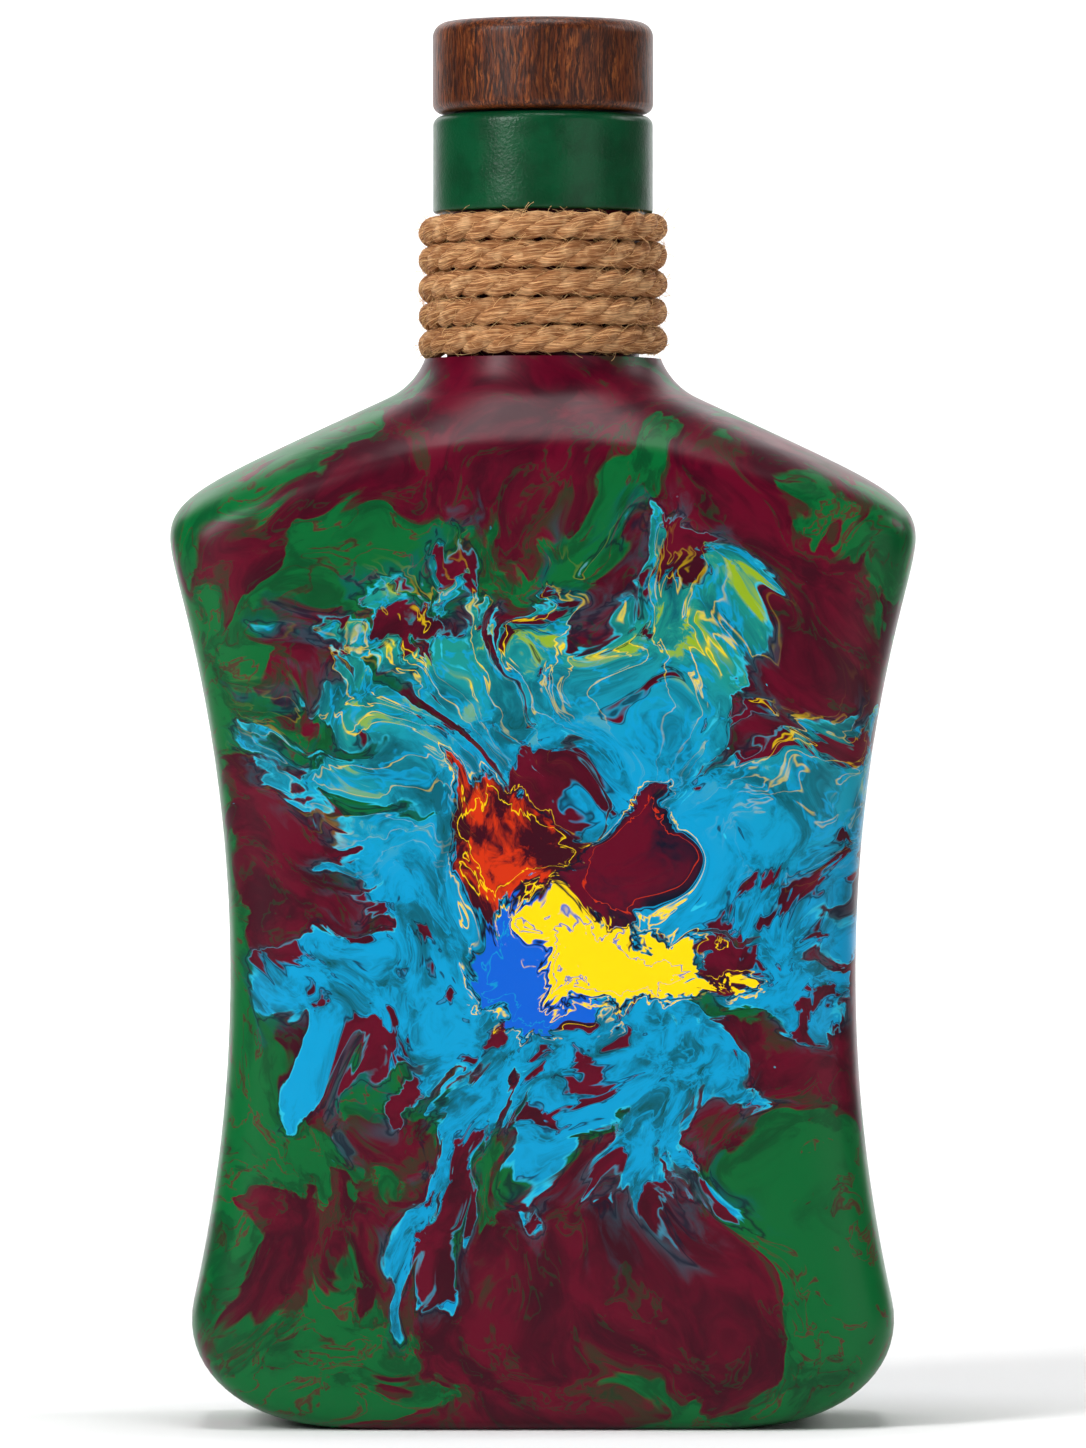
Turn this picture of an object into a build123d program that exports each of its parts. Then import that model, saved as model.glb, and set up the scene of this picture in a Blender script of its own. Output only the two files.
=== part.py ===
from build123d import *
import math
import os

# Painted flask bottle with a rope-wound neck and a wood-headed stopper, in millimetres.
# +Z is up, the origin is the middle of the base, and the broad front faces -Y.

# Glass, seen from the front
waist_width = 106.4
waist_height_share = 0.423
side_hollow_radius = 252.0
foot_reach = 32.0
foot_height = 21.6
ledge_height = 181.8
ledge_width = 2.9
shoulder_slope = 24.9
shoulder_flare_cut = 4.55
flare_radius = 12.4

# Glass, seen from the side
body_depth = 56.0
base_edge_radius = 4.5
roof_slope = 53.0
roof_flare_drop = 0.04

# How square each cross-section is, and how sharply the roof meets the walls
wall_squareness = 8.0
roof_squareness = 2.62
roof_round_depth = 15.6
corner_sharpness = 8.8
crease_sharpness = 60.0

# Inside of the glass, its base and its mouth
wall = 4.2
base_thickness = 9.5
heel_reach = 26.0
heel_height = 17.0
bearing_width = 7.0
punt_depth = 3.0
punt_slant = 4.0
neck_diameter = 33.0
bore_diameter = 20.0
bore_relief = 0.3
bore_flare_radius = 16.0
rim_edge_radius = 0.8
mouth_chamfer = 0.6

# Rope wound on the neck above the ledge
rope_diameter = 4.35
rope_pitch = 4.81
rope_front_passes = 5
rope_seat_gap = 0.3
rope_rest_gap = 0.1
rope_gap_samples = 24

# Collar, a painted sleeve above the rope that hangs on the rim of the glass
collar_rope_gap = 0.1
collar_height = 16.65
collar_wall = 2.25
collar_play = 0.1
collar_flange = 0.8
collar_mouth_play = 1.5
collar_top_radius = 1.7
collar_bottom_radius = 0.5

# Stopper: wood head, plastic insert, sealing sleeve and washer
head_overhang = 0.05
head_height = 16.1
head_crown = 0.5
head_gap = 0.4
head_top_radius = 2.6
head_bottom_radius = 1.7
washer_width = 4.65
washer_thickness = 1.0
washer_play = 0.35
insert_flange = 1.2
recess_play = 0.4
tenon_step = 1.0
tenon_length = 8.0
tenon_play = 0.05
tenon_end_gap = 0.4
stem_play = 0.05
sleeve_wall = 3.89
shank_play = 0.06
shank_length = 21.0
shank_chamfer = 1.5
stem_inset = 1.0
seal_ring_count = 3
seal_ring_depth = 0.5
seal_ring_width = 1.2
seal_ring_pitch = 4.6

# Sampling of the free-form glass
section_points = 72
foot_sections = 9
wall_sections = 12
roof_sections = 30
roof_depth = 40.1
overrun = 2.0

# Sizes that follow from the ones above
waist_height = ledge_height * waist_height_share
flare_reach = neck_diameter / 2 + ledge_width
rope_radius = neck_diameter / 2 + rope_seat_gap + rope_diameter / 2
rope_climb = rope_pitch / (2 * math.pi)
rope_end_sink = rope_climb * (math.pi / 2 - 1) + rope_diameter * rope_climb / rope_radius
rope_level = ledge_height + rope_rest_gap + rope_diameter / 2 + rope_end_sink
rope_top = rope_level + rope_pitch * (rope_front_passes - 1) + rope_end_sink + rope_diameter / 2
collar_bottom = rope_top + collar_rope_gap
collar_edge = neck_diameter / 2 + collar_play + collar_wall
rim_height = collar_bottom + collar_height - collar_flange
seal_level = collar_bottom + collar_height
washer_hole = bore_diameter / 2 + washer_play
flange_edge = washer_hole + washer_width
flange_level = seal_level + washer_thickness
shank_edge = bore_diameter / 2 - shank_play
stem_edge = shank_edge - sleeve_wall - stem_play

UP = (Align.CENTER, Align.CENTER, Align.MIN)


# Shape of the glass, as curves and horizontal sections

def hollow_side(height):
    """Half width of the hollow side at a height."""
    rise = height - waist_height
    return waist_width / 2 + side_hollow_radius - math.sqrt(side_hollow_radius**2 - rise**2)


def foot_draw(height, reach, radius):
    """How far a wall draws in below a foot curve of that reach and height."""
    if height >= radius:
        return 0.0
    depth = min(1.0, (radius - height) / radius)
    return reach * (1 - math.sqrt(1 - depth**2))


def roof_line(height, slope, top, neck, radius):
    """Reach of a sloping roof that meets the upright neck in a hollow fillet ending at top."""
    angle = math.radians(slope)
    tangent = radius * math.tan((math.pi / 2 - angle) / 2)
    if height >= top:
        return neck
    if height >= top - tangent * (1 + math.sin(angle)):
        return neck + radius - math.sqrt(radius**2 - (top - height) ** 2)
    return neck + (top - tangent - height) / math.tan(angle)


def closeness(across, deep, squareness, c, s):
    """One over the reach of a superellipse towards the direction (c, s)."""
    return ((c / across) ** squareness + (s / deep) ** squareness) ** (1 / squareness)


def section_reach(c, s, walls, roof, roof_power):
    """Reach of a section towards (c, s), where the walls and the roof meet in a soft crease."""
    c, s = abs(c), abs(s)
    sharpness = corner_sharpness + (crease_sharpness - corner_sharpness) * s**2
    from_walls = closeness(*walls, wall_squareness, c, s)
    from_roof = closeness(*roof, roof_power, c, s)
    return (from_walls**sharpness + from_roof**sharpness) ** (-1 / sharpness)


def section_face(height, walls, roof, roof_power):
    """A horizontal section as a face inside one closed spline."""
    half_width = section_reach(1, 0, walls, roof, roof_power)
    half_depth = section_reach(0, 1, walls, roof, roof_power)
    points = []
    for i in range(section_points):
        turn = 2 * math.pi * i / section_points
        x, y = half_width * math.cos(turn), half_depth * math.sin(turn)
        length = math.hypot(x, y)
        reach = section_reach(x / length, y / length, walls, roof, roof_power)
        points.append((reach * x / length, reach * y / length, height))
    even = [i / section_points for i in range(section_points + 1)]
    return Face(Wire([Edge.make_spline(points, periodic=True, parameters=even)]))


def roof_power_at(height):
    """The roof is round at the ledge and squarer at the crease."""
    share = (ledge_height - height) / roof_round_depth
    return 2 + (roof_squareness - 2) * min(1.0, max(0.0, share))


def outer_section(height):
    """Section of the outside of the glass."""
    walls = (
        hollow_side(height) - foot_draw(height, foot_reach, foot_height),
        body_depth / 2 - foot_draw(height, base_edge_radius, base_edge_radius),
    )
    roof = (
        roof_line(height, shoulder_slope, ledge_height + shoulder_flare_cut, flare_reach, flare_radius),
        roof_line(height, roof_slope, ledge_height - roof_flare_drop, flare_reach, flare_radius),
    )
    return section_face(height, walls, roof, roof_power_at(height))


def hollow_neck():
    """Radius of the hollow's top, just wider than the bore."""
    return bore_diameter / 2 + bore_relief


def hollow_top(slope, top):
    """Height where the hollow's roof, one wall under the outer one, has narrowed to its neck."""
    angle = math.radians(slope)
    turn = math.tan((math.pi / 2 - angle) / 2)
    corner = top - flare_radius * turn - wall / math.cos(angle)
    return corner + (flare_reach - hollow_neck()) * math.tan(angle) + bore_flare_radius * turn


def cavity_tops():
    """The hollow's top across the bottle and through its depth."""
    across = hollow_top(shoulder_slope, ledge_height + shoulder_flare_cut)
    return across, hollow_top(roof_slope, ledge_height - roof_flare_drop)


def cavity_section(height):
    """Section of the hollow: the outside moved in by the wall."""
    above = height - base_thickness
    walls = (
        hollow_side(height) - wall - foot_draw(above, heel_reach, heel_height),
        body_depth / 2 - wall - foot_draw(above, base_edge_radius, base_edge_radius),
    )
    across, deep = cavity_tops()
    roof = (
        roof_line(height, shoulder_slope, across, hollow_neck(), bore_flare_radius),
        roof_line(height, roof_slope, deep, hollow_neck(), bore_flare_radius),
    )
    return section_face(height, walls, roof, roof_power_at(height))


def stations(low, foot, bend, top):
    """Section heights, closest together in the foot and in the roof."""
    heights = [low + foot * (i / foot_sections) ** 2 for i in range(foot_sections + 1)]
    start = low + foot
    heights += [start + (bend - start) * (i + 1) / wall_sections for i in range(wall_sections)]
    return heights + [bend + (top - bend) * (i + 1) / roof_sections for i in range(roof_sections)]


def outer_heights():
    """Heights of the outer sections."""
    return stations(0, foot_height, ledge_height - roof_depth, ledge_height)


def cavity_heights():
    """Heights of the hollow's sections."""
    return stations(base_thickness, heel_height, ledge_height - roof_depth - wall, max(cavity_tops()))


# The pieces

def glass_bottle():
    """Hollow glass body with a ledge for the rope, a thick neck, its bore and a hollowed base."""
    outside = loft([outer_section(height) for height in outer_heights()])
    neck = Cylinder(neck_diameter / 2, rim_height - ledge_height + overrun, align=UP)
    neck = Pos(0, 0, ledge_height - overrun) * neck
    rim = neck.edges().filter_by(GeomType.CIRCLE).sort_by(Axis.Z)[-1]
    glass = outside + fillet(rim, rim_edge_radius)
    glass -= loft([cavity_section(height) for height in cavity_heights()])
    top = max(cavity_tops())
    bore = Cylinder(bore_diameter / 2, rim_height - top + 2 * overrun, align=UP)
    flare = mouth_chamfer + overrun
    mouth = Cone(bore_diameter / 2, bore_diameter / 2 + flare, flare, align=UP)
    glass -= Pos(0, 0, top - overrun) * bore
    return glass - Pos(0, 0, rim_height - mouth_chamfer) * mouth - punt()


def punt():
    """Shallow hollow under the base, which leaves a flat ring to stand on."""
    slope = punt_slant / punt_depth
    sections = []
    for height in (-overrun, punt_depth):
        inset = bearing_width + slope * height
        walls = (hollow_side(0) - foot_reach - inset, body_depth / 2 - base_edge_radius - inset)
        sections.append(section_face(height, walls, (waist_width, waist_width), 2))
    return loft(sections, ruled=True)


def neck_collar():
    """Painted sleeve with a thin top flange that rests on the rim of the glass."""
    collar = Pos(0, 0, collar_bottom) * Cylinder(collar_edge, collar_height, align=UP)
    rings = collar.edges().filter_by(GeomType.CIRCLE).sort_by(Axis.Z)
    collar = fillet(rings[-1], collar_top_radius)
    collar = fillet(collar.edges().filter_by(GeomType.CIRCLE).sort_by(Axis.Z)[0], collar_bottom_radius)
    sleeve = Cylinder(neck_diameter / 2 + collar_play, rim_height - collar_bottom + overrun, align=UP)
    collar -= Pos(0, 0, collar_bottom - overrun) * sleeve
    opening = Cylinder(bore_diameter / 2 + collar_mouth_play, collar_flange + 2 * overrun, align=UP)
    return collar - Pos(0, 0, rim_height - overrun) * opening


def rope_place(turn):
    """Point and direction of the rope's middle line at a turn angle, 0 at the front."""
    height = rope_level + rope_climb * (turn - math.sin(turn))
    point = Vector(rope_radius * math.sin(turn), -rope_radius * math.cos(turn), height)
    rise = rope_climb * (1 - math.cos(turn))
    heading = Vector(rope_radius * math.cos(turn), rope_radius * math.sin(turn), rise)
    return point, heading.normalized()


def biarc(start, start_heading, end, end_heading):
    """Two tangent arcs from one place and heading to another."""
    span = end - start
    both = start_heading + end_heading
    a = 2 * (start_heading.dot(end_heading) - 1)
    b = -2 * span.dot(both)
    c = span.dot(span)
    reach = (-b - math.sqrt(b * b - 4 * a * c)) / (2 * a)
    if reach < 0:
        reach = (-b + math.sqrt(b * b - 4 * a * c)) / (2 * a)
    near, far = start + start_heading * reach, end - end_heading * reach
    middle = (near + far) * 0.5
    first = Edge.make_tangent_arc(start, start_heading, middle)
    return [first, Edge.make_tangent_arc(middle, (far - near).normalized(), end)]


def rope_path():
    """Middle line of the winding: a biarc for each quarter turn, and straight ends."""
    quarters = 4 * (rope_front_passes - 1) + 2
    turns = [math.pi / 2 * (i - 1) for i in range(quarters + 1)]
    places = [rope_place(turn) for turn in turns]
    start, heading = places[0]
    edges = [Edge.make_line(start - heading * rope_diameter, start)]
    for (a, a_heading), (b, b_heading) in zip(places, places[1:]):
        edges += biarc(a, a_heading, b, b_heading)
    end, heading = places[-1]
    edges.append(Edge.make_line(end, end + heading * rope_diameter))
    return edges


def rope_winding():
    """Rope wound round the neck as one unbroken tube."""
    edges = rope_path()
    path = Wire(edges)
    start = Plane(origin=path @ 0, z_dir=path % 0)
    tube = sweep(start * Circle(rope_diameter / 2), path=path)
    report_rope(edges, path, tube)
    return tube


def report_rope(edges, path, tube):
    """Print the winding's radii, its least gap to itself and its volume against its length."""
    radii = [edge.radius for edge in edges if edge.geom_type == GeomType.CIRCLE]
    print("rope length", round(path.length, 1), "radii", round(min(radii), 2), "to", round(max(radii), 2))
    points = []
    for edge in edges:
        points += [edge @ ((i + 0.5) / rope_gap_samples) for i in range(rope_gap_samples)]
    step = 2 * (rope_gap_samples * 2 + 1)
    gaps = []
    for i, point in enumerate(points):
        gaps += [(point - other).length - rope_diameter for other in points[i + step :]]
    print("rope least gap to itself", round(min(gaps), 3))
    bare = math.pi * rope_diameter**2 / 4 * path.length
    print("rope volume", round(tube.volume, 1), "section times length", round(bare, 1))


def seal_washer():
    """Thin ring between the collar and the stopper."""
    ring = Cylinder(flange_edge, washer_thickness, align=UP) - Cylinder(washer_hole, washer_thickness, align=UP)
    return Pos(0, 0, seal_level) * ring


def stopper_head():
    """Turned wood disc with a recess for the insert's flange and a blind hole for its tenon."""
    low = seal_level + head_gap
    high = low + head_height
    edge = collar_edge + head_overhang
    outline = [
        Edge.make_line((0, 0, low), (edge, 0, low)),
        Edge.make_line((edge, 0, low), (edge, 0, high - head_crown)),
        Edge.make_tangent_arc((0, 0, high), (1, 0, 0), (edge, 0, high - head_crown)),
        Edge.make_line((0, 0, high), (0, 0, low)),
    ]
    head = revolve(Face(Wire(outline)), Axis.Z)
    rings = head.edges().sort_by(SortBy.LENGTH)[-2:].sort_by(Axis.Z)
    head = head.fillet(head_top_radius, [rings[-1]])
    rings = head.edges().sort_by(SortBy.LENGTH)[-2:].sort_by(Axis.Z)
    head = head.fillet(head_bottom_radius, [rings[0]])
    floor = flange_level + insert_flange
    head -= Pos(0, 0, low - overrun) * Cylinder(flange_edge + recess_play, floor - low + overrun, align=UP)
    hole = Cylinder(stem_edge + tenon_step + tenon_play, tenon_length + tenon_end_gap + overrun, align=UP)
    return head - Pos(0, 0, floor - overrun) * hole


def stopper_insert():
    """Plastic core: a flange over the washer, a tenon in the head and a stem in the sleeve."""
    stem_length = shank_length - stem_inset
    core = Pos(0, 0, flange_level) * Cylinder(flange_edge, insert_flange, align=UP)
    core += Pos(0, 0, flange_level) * Cylinder(stem_edge + tenon_step, insert_flange + tenon_length, align=UP)
    stem = Cylinder(stem_edge, stem_length + insert_flange, align=UP)
    return core + Pos(0, 0, flange_level - stem_length) * stem


def shank_sleeve():
    """Sealing sleeve on the insert's stem, ringed like a cork, that fills the bore."""
    low = flange_level - shank_length
    sleeve = Pos(0, 0, low) * Cylinder(shank_edge, shank_length, align=UP)
    sleeve = chamfer(sleeve.edges().filter_by(GeomType.CIRCLE).sort_by(Axis.Z)[0], shank_chamfer)
    groove = Cylinder(shank_edge + overrun, seal_ring_width)
    groove -= Cylinder(shank_edge - seal_ring_depth, seal_ring_width)
    for i in range(seal_ring_count):
        sleeve -= Pos(0, 0, low + shank_chamfer + seal_ring_pitch * (i + 1)) * groove
    return sleeve - Pos(0, 0, low + stem_inset) * Cylinder(stem_edge + stem_play, shank_length, align=UP)


def brimful():
    """Volume of the hollow and the bore, in millilitres."""
    hollow = loft([cavity_section(height) for height in cavity_heights()])
    bore = math.pi * bore_diameter**2 / 4 * (rim_height - max(cavity_tops()))
    return (hollow.volume + bore) / 1000


pieces = {
    "glass_bottle": glass_bottle,
    "neck_collar": neck_collar,
    "rope_winding": rope_winding,
    "seal_washer": seal_washer,
    "stopper_head": stopper_head,
    "stopper_insert": stopper_insert,
    "shank_sleeve": shank_sleeve,
}

if __name__ == "__main__":
    os.makedirs("parts", exist_ok=True)
    for name, make in pieces.items():
        piece = make()
        export_step(piece, f"parts/{name}.step")
        print(name, "volume", round(piece.volume), "valid", piece.is_valid)
    print("brimful millilitres", round(brimful()))
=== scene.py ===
import math
import bpy
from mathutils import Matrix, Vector


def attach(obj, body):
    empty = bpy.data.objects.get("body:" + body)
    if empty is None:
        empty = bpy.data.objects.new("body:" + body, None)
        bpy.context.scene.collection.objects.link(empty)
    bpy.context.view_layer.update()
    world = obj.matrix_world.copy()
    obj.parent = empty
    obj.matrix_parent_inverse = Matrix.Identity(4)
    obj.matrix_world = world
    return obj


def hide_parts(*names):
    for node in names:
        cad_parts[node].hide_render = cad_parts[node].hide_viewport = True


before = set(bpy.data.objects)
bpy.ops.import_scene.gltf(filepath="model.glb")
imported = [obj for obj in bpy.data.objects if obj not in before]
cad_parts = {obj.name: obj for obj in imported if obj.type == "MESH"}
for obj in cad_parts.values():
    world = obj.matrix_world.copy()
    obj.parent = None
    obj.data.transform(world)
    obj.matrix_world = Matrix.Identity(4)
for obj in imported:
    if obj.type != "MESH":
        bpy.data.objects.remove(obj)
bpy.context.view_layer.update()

mm = 0.001  # every size below is in millimetres


# Node helpers, shared by the materials and the rope's Geometry Nodes

class Field:
    # One output of a node tree; sums and products of fields make Math nodes.
    def __init__(self, tree, socket):
        self.tree, self.socket = tree, socket

    def math(self, operation, *others):
        return wire(self.tree, "ShaderNodeMath", (self,) + others, operation=operation)

    def __add__(self, other):
        return self.math("ADD", other)

    def __sub__(self, other):
        return self.math("SUBTRACT", other)

    def __mul__(self, other):
        return self.math("MULTIPLY", other)

    def __truediv__(self, other):
        return self.math("DIVIDE", other)

    def rise(self, low, high):
        # 0 below low, 1 above high, smooth between
        return wire(self.tree, "ShaderNodeMapRange", {0: self, 1: low, 2: high},
                    interpolation_type="SMOOTHSTEP")

    def near(self, middle, width):
        # 1 on a thin line where the field crosses middle
        return (self - middle).math("ABSOLUTE").rise(width, 0.0)


def wire(tree, kind, inputs=(), out=0, **settings):
    node = tree.nodes.new(kind)
    for name, value in settings.items():
        setattr(node, name, value)
    pairs = inputs.items() if isinstance(inputs, dict) else enumerate(inputs)
    for key, value in pairs:
        if isinstance(value, Field):
            tree.links.new(value.socket, node.inputs[key])
        elif value is not None:
            node.inputs[key].default_value = value
    return Field(tree, node.outputs[out])


def vectorMath(operation, a, b=None, out=0):
    owner = a if isinstance(a, Field) else b
    return wire(owner.tree, "ShaderNodeVectorMath", (a, b), out=out, operation=operation)


def scaled(vector, factor):
    return wire(vector.tree, "ShaderNodeVectorMath", {0: vector, 3: factor}, operation="SCALE")


def combined(tree, x, y, z):
    return wire(tree, "ShaderNodeCombineXYZ", (x, y, z))


def parts(vector):
    node = vector.tree.nodes.new("ShaderNodeSeparateXYZ")
    vector.tree.links.new(vector.socket, node.inputs[0])
    return [Field(vector.tree, node.outputs[i]) for i in range(3)]


def cloud(vector, size, seed=0.0, detail=2.0, rough=0.5, lumps=(1, 1, 1), colour=False):
    # Noise whose lumps are about size across, in the vector's own unit
    if lumps != (1, 1, 1):
        vector = vectorMath("MULTIPLY", vector, lumps)
    return wire(vector.tree, "ShaderNodeTexNoise",
                {"Vector": vector, "W": seed, "Scale": 1 / size, "Detail": detail, "Roughness": rough},
                out=1 if colour else 0, noise_dimensions="4D")


def blend(mask, under, over):
    return wire(mask.tree, "ShaderNodeMix", {0: mask, 6: under, 7: over}, out=2, data_type="RGBA")


def mixed(mask, low, high):
    return wire(mask.tree, "ShaderNodeMix", {0: mask, 2: low, 3: high}, out=0, data_type="FLOAT")


def ink(red, green, blue):
    # A colour as seen on screen, turned to the linear values that nodes use
    def linear(level):
        level /= 255
        return level / 12.92 if level <= 0.04045 else ((level + 0.055) / 1.055) ** 2.4
    return (linear(red), linear(green), linear(blue), 1.0)


def bump(height, strength, distance):
    return wire(height.tree, "ShaderNodeBump", {"Height": height, "Strength": strength, "Distance": distance})


def newMaterial(name, **settings):
    material = bpy.data.materials.new(name)
    material.use_nodes = True
    shader = material.node_tree.nodes["Principled BSDF"]
    for key, value in settings.items():
        shader.inputs[key.replace("_", " ")].default_value = value
    return material, material.node_tree, shader


def objectPlace(tree):
    # Object coordinates in millimetres
    return scaled(wire(tree, "ShaderNodeTexCoord", out=3), 1 / mm)


def plug(shader, name, field):
    field.tree.links.new(field.socket, shader.inputs[name])


# Mesh helpers

def meshObject(name, points, faces, materials, faceSlots=None):
    mesh = bpy.data.meshes.new(name)
    mesh.from_pydata([(x * mm, y * mm, z * mm) for x, y, z in points], [], faces)
    for material in materials:
        mesh.materials.append(material)
    if faceSlots:
        mesh.polygons.foreach_set("material_index", faceSlots)
    mesh.polygons.foreach_set("use_smooth", [True] * len(mesh.polygons))
    mesh.update()
    thing = bpy.data.objects.new(name, mesh)
    bpy.context.scene.collection.objects.link(thing)
    return thing


def ringFaces(ringCount, around, closedEnds=True):
    # Quads between rings, and a fan at each end; the poles are the two points after the rings
    faces = []
    for ring in range(ringCount - 1):
        low = ring * around
        for i in range(around):
            j = (i + 1) % around
            faces.append((low + i, low + j, low + around + j, low + around + i))
    if closedEnds:
        first, last = ringCount * around, ringCount * around + 1
        top = (ringCount - 1) * around
        faces += [(first, (i + 1) % around, i) for i in range(around)]
        faces += [(last, top + i, top + (i + 1) % around) for i in range(around)]
    return faces


def turned(name, profile, materials, around=144, sharp=35):
    # A lathe piece: profile is (radius, height) from the pole below to the pole above, or a closed loop
    loop = profile[0][0] > 0
    rings = profile if loop else profile[1:-1]
    points = []
    for radius, height in rings:
        for i in range(around):
            turn = 2 * math.pi * i / around
            points.append((radius * math.sin(turn), -radius * math.cos(turn), height))
    if loop:
        faces = ringFaces(len(rings), around, False)
        low = (len(rings) - 1) * around
        faces += [(low + i, low + (i + 1) % around, (i + 1) % around, i) for i in range(around)]
    else:
        points += [(0, 0, profile[0][1]), (0, 0, profile[-1][1])]
        faces = ringFaces(len(rings), around)
    thing = meshObject(name, points, faces, materials)
    thing.data.set_sharp_from_angle(angle=math.radians(sharp))
    return thing


def rounded(corner, start, end, radius, steps=8):
    # Points of a round of that radius at a profile's corner, between the legs to start and end
    corner, start, end = Vector(corner), Vector(start), Vector(end)
    a, b = (start - corner).normalized(), (end - corner).normalized()
    half = a.angle(b) / 2
    reach = radius / math.tan(half)
    centre = corner + (a + b).normalized() * (radius / math.sin(half))
    first, last = corner + a * reach - centre, corner + b * reach - centre
    angle = first.angle(last)
    out = []
    for i in range(steps + 1):
        t = i / steps
        point = (first * math.sin((1 - t) * angle) + last * math.sin(t * angle)) / math.sin(angle)
        out.append(tuple(centre + point))
    return out


print("helpers ready")


# Bottle: the same section rule as the CAD glass, from the base up the outside and down the inside

bottle = {
    "waistHalf": 53.2, "waistHeight": 76.9014, "sideHollow": 252.0,
    "footReach": 32.0, "footHeight": 21.6, "halfDepth": 28.0, "baseEdge": 4.5,
    "ledgeHeight": 181.8, "flareReach": 19.4, "flareRadius": 12.4,
    "shoulderSlope": 24.9, "shoulderTop": 186.35, "roofSlope": 53.0, "roofTop": 181.76,
    "wallSquareness": 8.0, "roofSquareness": 2.62, "roofRoundDepth": 15.6,
    "cornerSharpness": 8.8, "creaseSharpness": 60.0,
    "wall": 4.2, "baseThickness": 9.5, "heelReach": 26.0, "heelHeight": 17.0,
    "punt": (26.2, 16.5, 3.0, 4.0),  # half length, half width, depth, slant
    "neckRadius": 16.5, "rimHeight": 222.665, "rimRound": 0.8, "mouthChamfer": 0.6,
    "boreRadius": 10.0, "hollowNeck": 10.3, "boreFlare": 16.0,
    "around": 168,
    "hubShares": (0.03, 0.35, 0.7), "puntHalf": 0.5, "ledgeRings": (18.6, 17.4), "rimRing": 14.0,
    "bendHeight": 135, "hollowBend": 140,
}


def hollowSide(height):
    rise = height - bottle["waistHeight"]
    radius = bottle["sideHollow"]
    return bottle["waistHalf"] + radius - math.sqrt(radius**2 - rise**2)


def footDraw(height, reach, radius):
    depth = min(1.0, max(0.0, (radius - height) / radius))
    return reach * (1 - math.sqrt(1 - depth**2))


def roofLine(height, slope, top, neck, radius):
    angle = math.radians(slope)
    tangent = radius * math.tan((math.pi / 2 - angle) / 2)
    if height >= top:
        return neck
    if height >= top - tangent * (1 + math.sin(angle)):
        return neck + radius - math.sqrt(radius**2 - (top - height) ** 2)
    return neck + (top - tangent - height) / math.tan(angle)


def closeness(across, deep, power, c, s):
    return ((c / across) ** power + (s / deep) ** power) ** (1 / power)


def sectionReach(c, s, walls, roof, roofPower):
    c, s = abs(c), abs(s)
    sharpness = bottle["cornerSharpness"] + (bottle["creaseSharpness"] - bottle["cornerSharpness"]) * s**2
    fromWalls = closeness(*walls, bottle["wallSquareness"], c, s)
    fromRoof = closeness(*roof, roofPower, c, s)
    return (fromWalls**sharpness + fromRoof**sharpness) ** (-1 / sharpness)


def roofPowerAt(height):
    share = (bottle["ledgeHeight"] - height) / bottle["roofRoundDepth"]
    return 2 + (bottle["roofSquareness"] - 2) * min(1.0, max(0.0, share))


def ringPoints(height, walls, roof, roofPower):
    # Points start at the front and go round by the right; they crowd at corners where the section is square
    squareShare = min(1.0, max(0.0, (172 - height) / 18))
    crowd = 1 - 0.4 * squareShare
    halfWidth = sectionReach(1, 0, walls, roof, roofPower)
    halfDepth = sectionReach(0, 1, walls, roof, roofPower)
    points = []
    for i in range(bottle["around"]):
        turn = 2 * math.pi * i / bottle["around"]
        s, c = math.sin(turn), -math.cos(turn)
        x = halfWidth * math.copysign(abs(s) ** crowd, s)
        y = halfDepth * math.copysign(abs(c) ** crowd, c)
        length = math.hypot(x, y)
        reach = sectionReach(x / length, y / length, walls, roof, roofPower)
        points.append((reach * x / length, reach * y / length, height))
    return points


def outerRing(height):
    b = bottle
    walls = (hollowSide(height) - footDraw(height, b["footReach"], b["footHeight"]),
             b["halfDepth"] - footDraw(height, b["baseEdge"], b["baseEdge"]))
    roof = (roofLine(height, b["shoulderSlope"], b["shoulderTop"], b["flareReach"], b["flareRadius"]),
            roofLine(height, b["roofSlope"], b["roofTop"], b["flareReach"], b["flareRadius"]))
    return ringPoints(height, walls, roof, roofPowerAt(height))


def hollowTop(slope, top):
    b = bottle
    angle = math.radians(slope)
    turn = math.tan((math.pi / 2 - angle) / 2)
    corner = top - b["flareRadius"] * turn - b["wall"] / math.cos(angle)
    return corner + (b["flareReach"] - b["hollowNeck"]) * math.tan(angle) + b["boreFlare"] * turn


def innerRing(height):
    b = bottle
    above = height - b["baseThickness"]
    walls = (hollowSide(height) - b["wall"] - footDraw(above, b["heelReach"], b["heelHeight"]),
             b["halfDepth"] - b["wall"] - footDraw(above, b["baseEdge"], b["baseEdge"]))
    across, deep = hollowTop(b["shoulderSlope"], b["shoulderTop"]), hollowTop(b["roofSlope"], b["roofTop"])
    roof = (roofLine(height, b["shoulderSlope"], across, b["hollowNeck"], b["boreFlare"]),
            roofLine(height, b["roofSlope"], deep, b["hollowNeck"], b["boreFlare"]))
    return ringPoints(height, walls, roof, roofPowerAt(height))


def roundRing(radius, height):
    around = bottle["around"]
    turns = [2 * math.pi * i / around for i in range(around)]
    return [(radius * math.sin(turn), -radius * math.cos(turn), height) for turn in turns]


def puntRing(share):
    length, width, depth, slant = bottle["punt"]
    inset = slant * share
    wide = (bottle["waistHalf"] * 2,) * 2
    return ringPoints(depth * share, (length - inset, width - inset), wide, 2)


def spread(low, high, count):
    return [low + (high - low) * i / count for i in range(count + 1)]


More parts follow.
